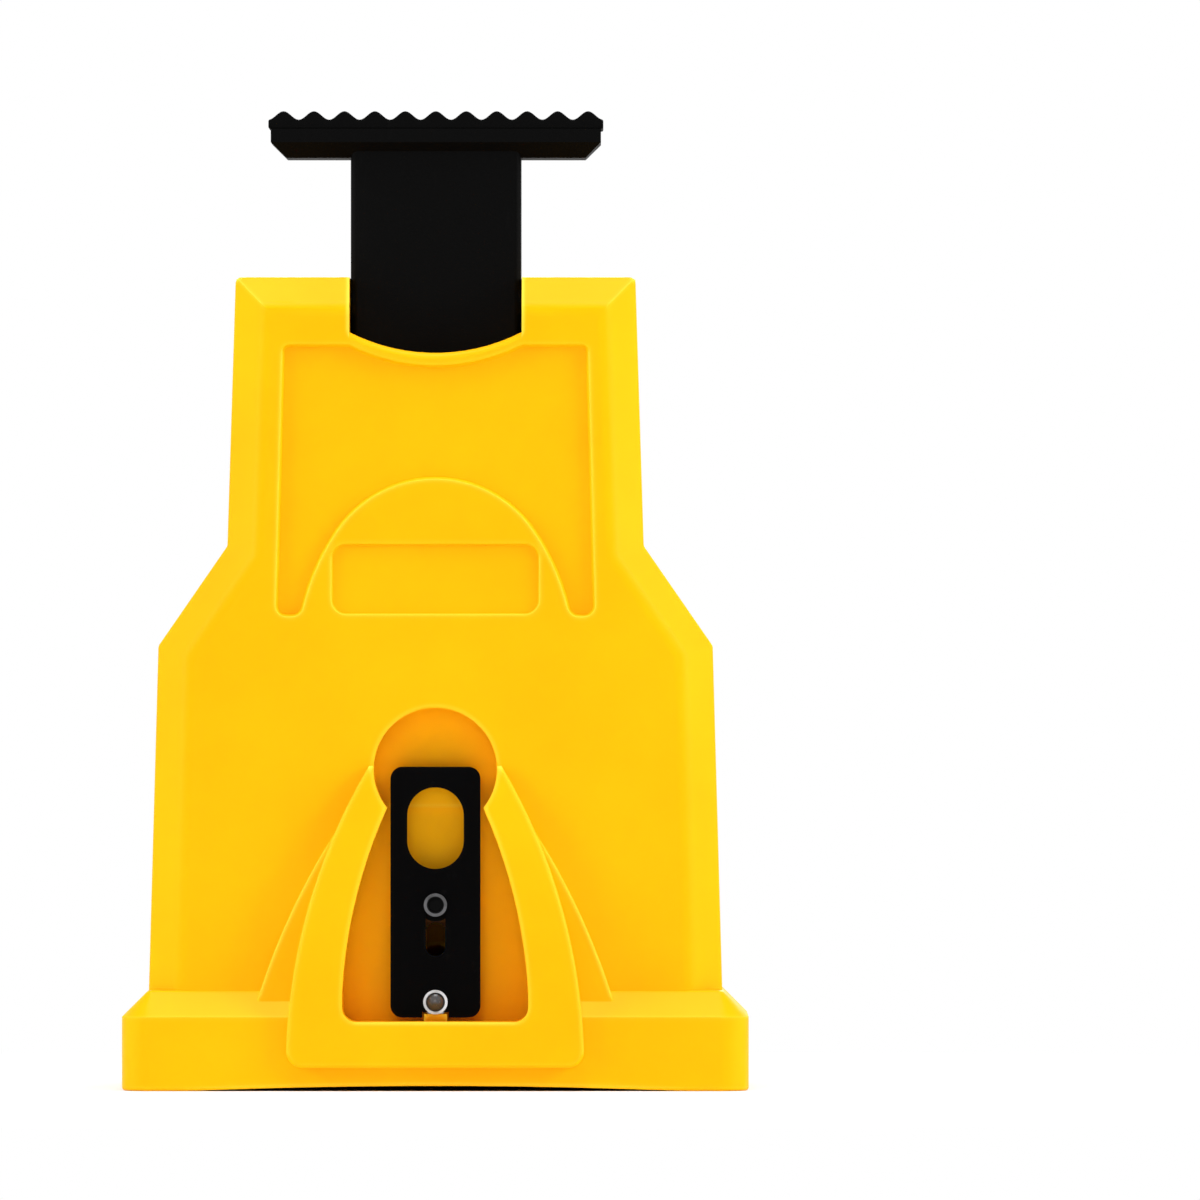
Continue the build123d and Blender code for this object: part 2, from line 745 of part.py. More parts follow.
# Push plunger: head, neck and yoke in one moulding
with BuildPart() as plunger:
    with BuildSketch(Plane.XY.offset(head_low)):
        Rectangle(head_width, head_depth)
    extrude(amount=head_thickness)
    chamfer(plunger.faces().sort_by(Axis.Z)[0].edges(), length=head_bevel)
    with BuildSketch(Plane.XY.offset(yoke_low)):
        RectangleRounded(neck_width, neck_depth, neck_corner_radius)
    extrude(amount=head_low + head_thickness / 2 - yoke_low)
    with BuildSketch(front_plane(yoke_thickness / 2)) as yoke:
        with Locations((0, (yoke_low + yoke_top) / 2)):
            Rectangle(yoke_width, yoke_height)
        fillet(yoke.vertices().group_by(Axis.Y)[-1], radius=yoke_corner_radius)
    extrude(amount=-yoke_thickness)

    # Window for the post, bore for the spring, and cores from the back
    with BuildSketch(front_plane(neck_depth)):
        with Locations((0, (window_low + window_top) / 2)):
            RectangleRounded(window_width, window_top - window_low, window_corner_radius)
    extrude(amount=-2 * neck_depth, mode=Mode.SUBTRACT)
    with Locations((0, 0, (window_low + spring_pocket_top) / 2 + core_wall)):
        pocket_length = spring_pocket_top - window_low - 2 * core_wall
        Cylinder(spring_pocket_diameter / 2, pocket_length, mode=Mode.SUBTRACT)
    core_inner = spring_pocket_diameter / 2 + core_wall
    core_outer = neck_width / 2 - core_wall
    core_front = core_wall - neck_depth / 2
    for span in both_sides(core_inner, core_outer):
        block(span, (core_front, neck_depth), (yoke_top, head_low - core_wall), Mode.SUBTRACT)

    # Holes for the tread pad's studs and notches for the carrier's snaps
    stud_hole_depth = tread_stud_length + stop_gap
    with Locations(*[(x, 0, head_top - stud_hole_depth / 2) for x in tread_stud_places]):
        Cylinder(tread_stud_diameter / 2 + press_clearance, stud_hole_depth, mode=Mode.SUBTRACT)
    with BuildSketch(front_plane(yoke_thickness)):
        for place in snap_places:
            with BuildLine():
                Polyline(*snap_corners(place, snap_clearance), close=True)
            make_face()
    extrude(amount=-2 * yoke_thickness, mode=Mode.SUBTRACT)

plunger.part.label = "plunger"
export_step(plunger.part, "parts/plunger.step")


# Ridged tread pad, pressed on the head by two studs
with BuildPart() as tread_pad:
    pad_width = head_width + 2 * tread_overhang
    ridge_pitch = pad_width / tread_count
    valley = head_top + tread_base
    ridges = [(-pad_width / 2, head_top), (-pad_width / 2, valley)]
    for ridge in range(tread_count):
        ridge_left = ridge * ridge_pitch - pad_width / 2
        ridges.append((ridge_left + ridge_pitch / 2, valley + tread_height))
        ridges.append((ridge_left + ridge_pitch, valley))
    ridges.append((pad_width / 2, head_top))
    with BuildSketch(front_plane(head_depth / 2)) as ridge_profile:
        with BuildLine():
            Polyline(*ridges, close=True)
        make_face()
        inner = [v for v in ridge_profile.vertices() if abs(v.X) < pad_width / 2 - tread_tip_radius]
        fillet(inner, radius=tread_tip_radius)
    extrude(amount=-head_depth)
    with Locations(*[(x, 0, head_top - tread_stud_length / 2) for x in tread_stud_places]):
        Cylinder(tread_stud_diameter / 2, tread_stud_length)

tread_pad.part.label = "tread_pad"
export_step(tread_pad.part, "parts/tread_pad.step")


# Carrier that hangs under the yoke and holds the stone by the grooves in its ends
with BuildPart() as stone_carrier:
    seat_half = stone_half + stone_clearance
    seat_radius = stone_outer_radius + stone_clearance
    seat_high = stone_outer_centre + sqrt(seat_radius**2 - seat_half**2)
    tip_top = carrier_tip + carrier_tip_height
    with BuildSketch(front_plane(carrier_depth / 2)):
        with BuildLine():
            Polyline(
                (-carrier_tip_half, carrier_tip),
                (-carrier_half, tip_top),
                (-carrier_half, yoke_low),
                (carrier_half, yoke_low),
                (carrier_half, tip_top),
                (carrier_tip_half, carrier_tip),
                close=True,
            )
        make_face()
        with BuildLine():
            ThreePointArc((-seat_half, seat_high), (0, stone_top + stone_clearance), (seat_half, seat_high))
            Polyline(
                (seat_half, seat_high),
                (seat_half, carrier_tip - overrun),
                (-seat_half, carrier_tip - overrun),
                (-seat_half, seat_high),
            )
        make_face(mode=Mode.SUBTRACT)
        tongue_width = stone_groove_depth + stone_clearance
        tongue_middle = stone_half + stone_clearance - stone_groove_depth / 2
        with Locations((-tongue_middle, stone_groove_middle), (tongue_middle, stone_groove_middle)):
            Rectangle(tongue_width, stone_groove_height - 2 * stone_clearance)
        for place in snap_places:
            with BuildLine():
                Polyline(*snap_corners(place, 0), close=True)
            make_face()
    extrude(amount=-carrier_depth)

stone_carrier.part.label = "stone_carrier"
export_step(stone_carrier.part, "parts/stone_carrier.step")


# Crescent sharpening stone
with BuildPart() as sharpening_stone:
    groove_floor = stone_half - stone_groove_depth
    groove_high = stone_groove_middle + stone_groove_height / 2
    groove_low = stone_groove_middle - stone_groove_height / 2
    end = [
        (stone_half, stone_end_high),
        (stone_half, groove_high),
        (groove_floor, groove_high),
        (groove_floor, groove_low),
        (stone_half, groove_low),
        (stone_half, stone_end_low),
    ]
    with BuildSketch(front_plane(stone_depth / 2)):
        with BuildLine():
            ThreePointArc((-stone_half, stone_end_high), (0, stone_top), (stone_half, stone_end_high))
            Polyline(*end)
            inner_top = stone_top - stone_thickness
            ThreePointArc((stone_half, stone_end_low), (0, inner_top), (-stone_half, stone_end_low))
            Polyline(*[(-x, z) for x, z in reversed(end)])
        make_face()
    extrude(amount=-stone_depth)

sharpening_stone.part.label = "sharpening_stone"
export_step(sharpening_stone.part, "parts/sharpening_stone.step")


# Return spring: straight ends, two bends, and quarter turns that are each drawn as two arcs
quarters_per_turn = 4
slope_rounds = 6
gap_samples = 360
spring_quarters = quarters_per_turn * spring_turns
spring_radius = spring_mean_diameter / 2
spring_low = post_top + spring_seat_gap
spring_high = spring_pocket_top - spring_seat_gap
spring_slope = 0
for _ in range(slope_rounds):
    spring_run = 1 / sqrt(1 + spring_slope**2)
    coil_low = spring_low + spring_wire + spring_bend_radius * spring_run
    coil_high = spring_high - spring_wire - spring_bend_radius * spring_run
    spring_slope = (coil_high - coil_low) / (2 * pi * spring_radius * spring_turns)
bend_side = spring_bend_radius * (1 - spring_slope * spring_run)


def coil_point(quarter):
    """Place on the coil's centre line after a number of quarter turns."""
    angle = quarter * 2 * pi / quarters_per_turn
    height = coil_low + (coil_high - coil_low) * quarter / spring_quarters
    return Vector(spring_radius * cos(angle), spring_radius * sin(angle), height)


def coil_heading(quarter):
    """Direction of the coil's centre line after a number of quarter turns."""
    angle = quarter * 2 * pi / quarters_per_turn
    return Vector(-sin(angle), cos(angle), spring_slope).normalized()


def coil_quarter(quarter):
    """Draw one quarter turn as two arcs that meet in one direction."""
    start = coil_point(quarter)
    end = coil_point(quarter + 1)
    start_heading = coil_heading(quarter)
    end_heading = coil_heading(quarter + 1)
    chord = end - start
    along = chord.dot(start_heading + end_heading)
    bending = 2 - 2 * start_heading.dot(end_heading)
    reach = (sqrt(along**2 + bending * chord.dot(chord)) - along) / bending
    first = start + start_heading * reach
    second = end - end_heading * reach
    middle = (first + second) / 2
    TangentArc(start, middle, tangent=start_heading)
    TangentArc(middle, end, tangent=second - first)


with BuildPart() as return_spring:
    with BuildLine() as coil:
        low_bend = Vector(spring_radius, -bend_side, spring_low + spring_wire)
        high_bend = Vector(spring_radius, bend_side, spring_high - spring_wire)
        Line(low_bend - Vector(0, 0, spring_wire), low_bend)
        TangentArc(low_bend, coil_point(0), tangent=(0, 0, 1))
        for quarter in range(spring_quarters):
            coil_quarter(quarter)
        TangentArc(coil_point(spring_quarters), high_bend, tangent=coil_heading(spring_quarters))
        Line(high_bend, high_bend + Vector(0, 0, spring_wire))
    with BuildSketch(Plane.XY.offset(spring_low)):
        with Locations((spring_radius, -bend_side)):
            Circle(spring_wire / 2)
    sweep()

coil_wire = coil.wires()[0]
coil_samples = [coil_wire.position_at(step / gap_samples) for step in range(gap_samples + 1)]
half_turn_steps = gap_samples // (2 * spring_turns)
coil_gap = min(
    (near - far).length
    for step, near in enumerate(coil_samples)
    for far in coil_samples[step + half_turn_steps:]
)
print("return spring, least gap to itself:", round(coil_gap - spring_wire, 2), "mm")

return_spring.part.label = "return_spring"
export_step(return_spring.part, "parts/return_spring.step")


# Hinge pins, pressed in the rear body's ears
pin_spans = both_sides(arm_inner + pin_end_gap, pin_end - pin_end_gap)
for side_name, pin_span in zip(("right", "left"), pin_spans):
    with BuildPart() as hinge_pin:
        hinge_cylinder(pin_span, hinge_pin_diameter / 2)
        chamfer(hinge_pin.edges().filter_by(GeomType.CIRCLE), length=pin_end_chamfer)
    hinge_pin.part.label = "hinge_pin_" + side_name
    export_step(hinge_pin.part, "parts/hinge_pin_" + side_name + ".step")


# Latch plate that slides up and down in the pocket
with BuildPart() as latch_plate:
    with BuildSketch(front_plane(plate_depth)):
        with Locations((0, (plate_low + plate_top) / 2)):
            RectangleRounded(plate_width, plate_top - plate_low, plate_corner_radius)
        with Locations(Location((0, finger_hole_middle), 90)):
            SlotOverall(finger_hole_height, finger_hole_width, mode=Mode.SUBTRACT)
        with Locations(Location((0, stud_height - latch_travel / 2), 90)):
            SlotCenterToCenter(latch_travel + 2 * latch_end_gap, 2 * plate_slot_half, mode=Mode.SUBTRACT)
        with Locations((0, latch_pin_height)):
            Circle(latch_pin_diameter / 2 + press_clearance, mode=Mode.SUBTRACT)
        with Locations((0, plate_low)):
            Rectangle(plate_notch_width, 2 * plate_notch_height, mode=Mode.SUBTRACT)
    extrude(amount=plate_thickness)

latch_plate.part.label = "latch_plate"
export_step(latch_plate.part, "parts/latch_plate.step")


# Latch pin: domed head in a raised rim, shank, and a necked tip for the keyhole
with BuildPart() as latch_pin:
    head_radius = latch_pin_head_diameter / 2
    dome_radius = head_radius - latch_pin_rim_width
    shank_radius = latch_pin_diameter / 2
    pin_neck_radius = latch_pin_neck_diameter / 2
    rim_face = -(plate_front + latch_pin_rim_thickness)
    dome_foot = -(plate_front + latch_pin_rim_thickness / 2)
    dome_top = -(plate_front + latch_pin_head_thickness)
    neck_from = bar_seat - latch_pin_lock_gap
    neck_to = platform_back + latch_pin_lock_gap
    tip = neck_to + latch_pin_tip_length
    dome_middle = (dome_foot + (dome_top - dome_foot) * latch_pin_dome_share, dome_radius / 2)
    with BuildSketch(Plane(origin=(0, 0, latch_pin_height), x_dir=(0, 1, 0), z_dir=(1, 0, 0))):
        with BuildLine():
            ThreePointArc((dome_top, 0), dome_middle, (dome_foot, dome_radius))
            Polyline(
                (dome_foot, dome_radius),
                (rim_face, dome_radius),
                (rim_face, head_radius),
                (-plate_front, head_radius),
                (-plate_front, shank_radius),
                (neck_from, shank_radius),
                (neck_from, pin_neck_radius),
                (neck_to, pin_neck_radius),
                (neck_to, shank_radius),
                (tip - tip_chamfer, shank_radius),
                (tip, shank_radius - tip_chamfer),
                (tip, 0),
                (dome_top, 0),
            )
        make_face()
    revolve(axis=Axis((0, 0, latch_pin_height), (0, 1, 0)))

latch_pin.part.label = "latch_pin"
export_step(latch_pin.part, "parts/latch_pin.step")


# Collar behind the plate on the latch pin
with BuildPart() as pin_collar:
    with BuildSketch(front_plane(plate_depth)):
        with Locations((0, latch_pin_height)):
            Circle(collar_diameter / 2)
            Circle(latch_pin_diameter / 2 + press_clearance, mode=Mode.SUBTRACT)
    extrude(amount=-collar_thickness)

pin_collar.part.label = "pin_collar"
export_step(pin_collar.part, "parts/pin_collar.step")


# Guide stud: hollow head in front of the plate, locating end for the bar, and a pilot tip
with BuildPart() as guide_stud:
    with BuildSketch(front_plane(plate_front + stud_head_gap)):
        with Locations((0, stud_height)):
            Circle(stud_head_diameter / 2)
    extrude(amount=stud_head_thickness)
    with BuildSketch(front_plane(plate_front + stud_head_gap)):
        with Locations((0, stud_height)):
            Circle(stud_shank_diameter / 2)
    extrude(amount=-(plate_front + stud_head_gap - bar_seat))
    with BuildSketch(front_plane(bar_seat)):
        with Locations((0, stud_height)):
            Circle(stud_locating_diameter / 2)
    stud_shoulder = bar_seat - stud_shoulder_gap
    extrude(amount=-(bar_seat + stud_shoulder))
    with BuildSketch(front_plane(-stud_shoulder)):
        with Locations((0, stud_height)):
            Circle(stud_pilot_diameter / 2)
    extrude(amount=-stud_pilot_length)
    chamfer(guide_stud.faces().sort_by(Axis.Y)[-1].edges(), length=tip_chamfer)
    stud_front = plate_front + stud_head_gap + stud_head_thickness
    with BuildSketch(front_plane(stud_front)):
        with Locations((0, stud_height)):
            Circle(stud_bore_diameter / 2)
    extrude(amount=-stud_bore_depth, mode=Mode.SUBTRACT)

guide_stud.part.label = "guide_stud"
export_step(guide_stud.part, "parts/guide_stud.step")


# Friction washer on the stud, between the pad and the latch plate
with BuildPart() as friction_washer:
    with BuildSketch(front_plane(pad_front)):
        with Locations((0, stud_height)):
            Circle(washer_diameter / 2)
            Circle(stud_shank_diameter / 2 + washer_bore_clearance, mode=Mode.SUBTRACT)
    extrude(amount=washer_thickness)

friction_washer.part.label = "friction_washer"
export_step(friction_washer.part, "parts/friction_washer.step")
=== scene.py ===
import json
from math import radians, tau

import bmesh
import bpy
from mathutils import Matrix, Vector


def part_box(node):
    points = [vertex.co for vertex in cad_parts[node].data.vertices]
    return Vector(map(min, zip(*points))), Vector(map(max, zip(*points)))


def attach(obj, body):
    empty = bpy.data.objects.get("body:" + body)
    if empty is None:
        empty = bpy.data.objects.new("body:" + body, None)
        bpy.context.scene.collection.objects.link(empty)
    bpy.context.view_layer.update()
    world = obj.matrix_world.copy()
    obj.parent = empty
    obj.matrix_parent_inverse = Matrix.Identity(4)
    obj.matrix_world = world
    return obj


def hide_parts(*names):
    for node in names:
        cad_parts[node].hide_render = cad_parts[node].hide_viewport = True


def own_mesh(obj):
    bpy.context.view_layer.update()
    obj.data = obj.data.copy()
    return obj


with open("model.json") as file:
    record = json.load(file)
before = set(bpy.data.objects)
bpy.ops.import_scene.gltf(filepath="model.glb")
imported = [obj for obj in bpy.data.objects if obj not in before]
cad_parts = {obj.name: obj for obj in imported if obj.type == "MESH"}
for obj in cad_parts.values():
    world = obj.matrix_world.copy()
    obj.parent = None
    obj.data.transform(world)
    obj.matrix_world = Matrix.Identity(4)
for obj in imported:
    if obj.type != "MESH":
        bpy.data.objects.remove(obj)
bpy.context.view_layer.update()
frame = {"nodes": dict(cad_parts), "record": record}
print("frame loaded:", len(frame["nodes"]), "nodes")


class Value:
    # one socket, so that node maths reads as a plain expression
    def __init__(self, wiring, socket):
        self.wiring = wiring
        self.socket = socket

    def maths(self, operation, first, second):
        return self.wiring.node("ShaderNodeMath", {"operation": operation}, {0: first, 1: second})

    def __add__(self, other):
        return self.maths("ADD", self, other)

    def __radd__(self, other):
        return self.maths("ADD", other, self)

    def __sub__(self, other):
        return self.maths("SUBTRACT", self, other)

    def __rsub__(self, other):
        return self.maths("SUBTRACT", other, self)

    def __mul__(self, other):
        return self.maths("MULTIPLY", self, other)

    def __rmul__(self, other):
        return self.maths("MULTIPLY", other, self)

    def __truediv__(self, other):
        return self.maths("DIVIDE", self, other)

    def __gt__(self, other):
        return self.maths("GREATER_THAN", self, other)


class Wiring:
    # builds the nodes of one material or one geometry tree
    def __init__(self, tree):
        self.tree = tree
        self.tree.nodes.clear()

    def node(self, kind, settings=None, sockets=None, out=0):
        made = self.tree.nodes.new(kind)
        for name, value in (settings or {}).items():
            setattr(made, name, value)
        for name, value in (sockets or {}).items():
            if isinstance(value, Value):
                self.tree.links.new(value.socket, made.inputs[name])
            else:
                made.inputs[name].default_value = value
        return Value(self, made.outputs[out]) if made.outputs else None

    def blend(self, share, first, second):
        # colour mix: the node's colour sockets share their names with others, so they go by number
        return self.node("ShaderNodeMix", {"data_type": "RGBA"}, {0: share, 6: first, 7: second}, 2)

    def noise(self, place, scale, detail, rough=0.5):
        sockets = {"Vector": place, "Scale": scale, "Detail": detail, "Roughness": rough}
        return self.node("ShaderNodeTexNoise", None, sockets)

    def spread(self, value, low, high):
        # 0 below low, 1 above high
        sockets = {"Value": value, "From Min": low, "From Max": high}
        return self.node("ShaderNodeMapRange", {"clamp": True}, sockets)


class Paint(Wiring):
    # a procedural material that ends in one principled shader
    def __init__(self, name):
        self.material = bpy.data.materials.new(name)
        self.material.use_nodes = True
        super().__init__(self.material.node_tree)
        self.place = self.node("ShaderNodeTexCoord", None, None, "Object")

    def part(self, vector, axis):
        return self.node("ShaderNodeSeparateXYZ", None, {0: vector}, axis)

    def vectors(self, operation, first, second):
        return self.node("ShaderNodeVectorMath", {"operation": operation}, {0: first, 1: second})

    def larger(self, first, second):
        return self.node("ShaderNodeMath", {"operation": "MAXIMUM"}, {0: first, 1: second})

    def length(self, vector):
        return self.node("ShaderNodeVectorMath", {"operation": "LENGTH"}, {0: vector}, "Value")

    def stretched(self, scale):
        return self.node("ShaderNodeMapping", None, {"Vector": self.place, "Scale": scale})

    def bump(self, height, strength, distance):
        sockets = {"Strength": strength, "Distance": distance, "Height": height}
        return self.node("ShaderNodeBump", None, sockets)

    def finish(self, sockets):
        shader = self.node("ShaderNodeBsdfPrincipled", None, sockets)
        self.node("ShaderNodeOutputMaterial", None, {"Surface": shader})
        return self.material


def linear(red, green, blue):
    # screen colour 0-255 to the shader's own
    def one(level):
        share = level / 255
        return share / 12.92 if share <= 0.04045 else ((share + 0.055) / 1.055) ** 2.4
    return (one(red), one(green), one(blue), 1.0)


# in each look a noise is its scale, detail and roughness, and a bump its strength and depth
# a span is where a mask starts and where it is full
# moulded yellow shell
yellowLook = {
    "colour": linear(254, 186, 4),
    "deep": linear(250, 179, 2),
    "dust": linear(236, 186, 66),
    "roughness": 0.36,
    "shine": 0.05,
    "patchNoise": (38.0, 3.0),
    "patchSpan": (0.35, 0.7),
    "patchRough": 0.08,
    "grainNoise": (2600.0, 2.0),
    "grainBump": (0.10, 0.00012),
    "scuffStretch": (70.0, 70.0, 900.0),
    "scuffNoise": (1.0, 4.0),
    "scuffSpan": (0.66, 0.80),
    "scuffRough": 0.14,
    "speckNoise": (420.0, 5.0, 0.7),
    "speckSpan": (0.72, 0.80),
    "speckShare": 0.22,
    # painted highlight along the outer edges: its colour, reach and masks
    "edgeHighlightColour": linear(255, 220, 66),
    "edgeReach": 0.0010,
    "edgeSamples": 8,
    "roundSamples": 6,
    "edgeSpan": (0.10, 0.42),
    "leanSpan": (-0.22, -0.05),
    "shadedEdgeSpan": (0.0, 0.003),
    "shadedEdgeTop": 0.075,
    "shadedEdgeShare": 0.85,
    # painted shade behind the sliding plate, round the guide stud
    "plateShadeColour": linear(72, 40, 8),
    "plateShadeSpot": (0.0, -0.0165, 0.0285),
    "plateShadeReach": (0.0036, 0.0026, 0.0046),
    "rubAndShadeSpan": (0.82, 1.0),
}


def paintedEdgeHighlight(paint, look):
    # painted highlight along outer edges that face up or sideways: inside an outer edge the wall ends
    # within a short reach
    solid = paint.node("ShaderNodeAmbientOcclusion",
                       {"inside": True, "only_local": True, "samples": look["edgeSamples"]},
                       {"Distance": look["edgeReach"]}, "AO")
    rounded = paint.node("ShaderNodeBevel", {"samples": look["roundSamples"]},
                         {"Radius": look["edgeReach"]})
    turned = paint.node("ShaderNodeVectorTransform", {
        "vector_type": "NORMAL", "convert_from": "WORLD", "convert_to": "OBJECT"}, {0: rounded})
    # edges that face down get no painted highlight and are left as they are
    highlight = paint.spread(1.0 - solid, *look["edgeSpan"])
    highlight = highlight * paint.spread(paint.part(turned, "Z"), *look["leanSpan"])
    # the pocket's side edges face the middle of the cover and lie in shade, so most of their painted
    # highlight is taken away
    toMiddle = paint.part(turned, "X") * paint.part(paint.place, "X") * -1.0
    inward = paint.spread(toMiddle, *look["shadedEdgeSpan"])
    shadedEdges = inward * (1.0 - (paint.part(paint.place, "Z") > look["shadedEdgeTop"]))
    return highlight * (1.0 - shadedEdges * look["shadedEdgeShare"])


def makeYellowShell(look):
    paint = Paint("yellowShell")
    patch = paint.noise(paint.place, *look["patchNoise"])
    grain = paint.noise(paint.place, *look["grainNoise"])
    scuff = paint.noise(paint.stretched(look["scuffStretch"]), *look["scuffNoise"])
    scuff = paint.spread(scuff, *look["scuffSpan"])
    speck = paint.spread(paint.noise(paint.place, *look["speckNoise"]), *look["speckSpan"])
    colour = paint.blend(paint.spread(patch, *look["patchSpan"]), look["colour"], look["deep"])
    colour = paint.blend(speck * look["speckShare"], colour, look["dust"])
    # painted highlight on outer edges that face up or sideways
    colour = paint.blend(paintedEdgeHighlight(paint, look), colour, look["edgeHighlightColour"])
    # painted shade round the guide stud, behind the sliding plate
    offset = paint.vectors("SUBTRACT", paint.place, look["plateShadeSpot"])
    reach = paint.length(paint.vectors("DIVIDE", offset, look["plateShadeReach"]))
    colour = paint.blend(1.0 - paint.spread(reach, *look["rubAndShadeSpan"]), colour, look["plateShadeColour"])
    return paint.finish({
        "Base Color": colour,
        "Roughness": look["roughness"] + patch * look["patchRough"] + scuff * look["scuffRough"],
        "Specular IOR Level": look["shine"],
        "Normal": paint.bump(grain, *look["grainBump"]),
    })


# black mouldings: plunger, carrier and tread
blackLook = {
    "plunger": {"colour": linear(4, 4, 4), "worn": linear(12, 12, 12),
                "roughness": 0.46, "shine": 0.035, "grainNoise": (2200.0, 2.0)},
    "carrier": {"colour": linear(24, 24, 26), "worn": linear(44, 44, 46),
                "roughness": 0.52, "shine": 0.08, "grainNoise": (1800.0, 2.0)},
    "tread": {"colour": linear(4, 4, 4), "worn": linear(14, 14, 13),
              "roughness": 0.58, "shine": 0.035, "grainNoise": (1400.0, 2.0)},
}
mouldingLook = {
    "patchNoise": (55.0, 4.0),
    "patchSpan": (0.5, 0.85),
    "patchShare": 0.5,
    "patchRough": 0.1,
    "rubStretch": (900.0, 120.0, 120.0),
    "rubNoise": (1.0, 4.0),
    "rubAndShadeSpan": (0.62, 0.8),
    "rubShare": 0.25,
    "rubSmooth": 0.08,
    "grainBump": (0.18, 0.00012),
}


def makeBlackMoulding(name, look, shared):
    paint = Paint(name)
    patch = paint.noise(paint.place, *shared["patchNoise"])
    grain = paint.noise(paint.place, *look["grainNoise"])
    rub = paint.noise(paint.stretched(shared["rubStretch"]), *shared["rubNoise"])
    rub = paint.spread(rub, *shared["rubAndShadeSpan"])
    worn = paint.spread(patch, *shared["patchSpan"]) * shared["patchShare"] + rub * shared["rubShare"]
    return paint.finish({
        "Base Color": paint.blend(worn, look["colour"], look["worn"]),
        "Roughness": look["roughness"] + patch * shared["patchRough"] - rub * shared["rubSmooth"],
        "Specular IOR Level": look["shine"],
        "Normal": paint.bump(grain, *shared["grainBump"]),
    })


# bonded pink stone
stoneLook = {
    "pink": linear(242, 138, 182),
    "pale": linear(252, 190, 214),
    "deep": linear(214, 92, 146),
    "roughness": 0.82,
    "gritScale": 1500.0,
    "gritSpan": (0.62, 0.85),
    "gritShare": 0.5,
    "gritHeight": 0.6,
    "poreNoise": (620.0, 4.0, 0.65),
    "poreSpan": (0.56, 0.72),
    "poreShare": 0.75,
    "poreRough": 0.15,
    "patchNoise": (90.0, 3.0),
    "patchSpan": (0.35, 0.7),
    "patchShare": 0.6,
    "bump": (0.6, 0.0004),
}


def makePinkStone(look):
    paint = Paint("pinkStone")
    sockets = {"Vector": paint.place, "Scale": look["gritScale"]}
    grit = paint.node("ShaderNodeTexVoronoi", {"feature": "F1"}, sockets)
    pore = paint.noise(paint.place, *look["poreNoise"])
    patch = paint.noise(paint.place, *look["patchNoise"])
    pale = paint.spread(patch, *look["patchSpan"]) * look["patchShare"]
    deep = paint.spread(pore, *look["poreSpan"]) * look["poreShare"]
    bright = paint.spread(grit, *look["gritSpan"]) * look["gritShare"]
    colour = paint.blend(pale, look["pink"], look["pale"])
    colour = paint.blend(deep, colour, look["deep"])
    colour = paint.blend(bright, colour, look["pale"])
    return paint.finish({
        "Base Color": colour,
        "Roughness": look["roughness"] + pore * look["poreRough"],
        "Normal": paint.bump(grit * look["gritHeight"] + pore, *look["bump"]),
    })


# blackened latch plate
plateLook = {
    "colour": linear(4, 4, 5),
    "bare": linear(40, 40, 42),
    "roughness": 0.34,
    "shine": 0.02,
    "brushStretch": (140.0, 140.0, 2600.0),
    "brushNoise": (1.0, 3.0),
    "brushRough": 0.16,
    "brushBump": (0.12, 0.00008),
    "rubNoise": (260.0, 5.0, 0.65),
    "rubAndShadeSpan": (0.64, 0.78),
    "rubShare": 0.3,
    "rubMetal": 0.4,
}


def makeBlackPlate(look):
    paint = Paint("blackPlate")
    brush = paint.noise(paint.stretched(look["brushStretch"]), *look["brushNoise"])
    rub = paint.spread(paint.noise(paint.place, *look["rubNoise"]), *look["rubAndShadeSpan"])
    return paint.finish({
        "Base Color": paint.blend(rub * look["rubShare"], look["colour"], look["bare"]),
        "Metallic": rub * look["rubMetal"],
        "Specular IOR Level": look["shine"],
        "Roughness": look["roughness"] + brush * look["brushRough"],
        "Normal": paint.bump(brush, *look["brushBump"]),
    })


# bright and drawn steel; the two heads on the front have a dark middle: painted shade in and just round
# the stud's bore, and a painted dark reflection on the pin's dome
steelLook = {
    "bright": {"colour": linear(206, 206, 208), "dull": linear(150, 148, 146), "roughness": 0.22},
    "spring": {"colour": linear(176, 177, 180), "dull": linear(112, 110, 108), "roughness": 0.30},
    "stud": {"colour": linear(96, 96, 98), "dull": linear(64, 63, 62), "roughness": 0.26,
             "axis": (0, 0, 0.0311), "darkRadius": 0.00146, "dark": linear(14, 14, 14)},
    "rivet": {"colour": linear(214, 214, 216), "dull": linear(160, 158, 156), "roughness": 0.20,
              "axis": (0, 0, 0.0148), "darkRadius": 0.00160, "dark": linear(74, 75, 78), "darkCoat": 0.85},
}
metalLook = {
    "patchNoise": (340.0, 4.0),
    "patchSpan": (0.42, 0.72),
    "patchRough": 0.14,
    "brushStretch": (2600.0, 400.0, 2600.0),
    "brushNoise": (1.0, 3.0),
    "brushBump": (0.1, 0.00006),
    "headPlane": (1, 0, 1),
    "rimSpan": (0.94, 1.03),
}


def makeSteel(name, look, shared):
    paint = Paint(name)
    patch = paint.noise(paint.place, *shared["patchNoise"])
    brush = paint.noise(paint.stretched(shared["brushStretch"]), *shared["brushNoise"])
    colour = paint.blend(paint.spread(patch, *shared["patchSpan"]), look["colour"], look["dull"])
    metal = 1.0
    if "dark" in look:
        # painted dark middle, round the head's own axis: painted shade in the stud's bore, a painted dark
        # reflection on the pin's dome
        offset = paint.vectors("SUBTRACT", paint.place, look["axis"])
        flat = paint.vectors("MULTIPLY", offset, shared["headPlane"])
        rim = [look["darkRadius"] * share for share in shared["rimSpan"]]
        middle = 1.0 - paint.spread(paint.length(flat), *rim)
        colour = paint.blend(middle, colour, look["dark"])
        if "darkCoat" in look:
            metal = 1.0 - middle * look["darkCoat"]
    return paint.finish({
        "Base Color": colour,
        "Metallic": metal,
        "Roughness": look["roughness"] + patch * shared["patchRough"],
        "Normal": paint.bump(brush, *shared["brushBump"]),
    })


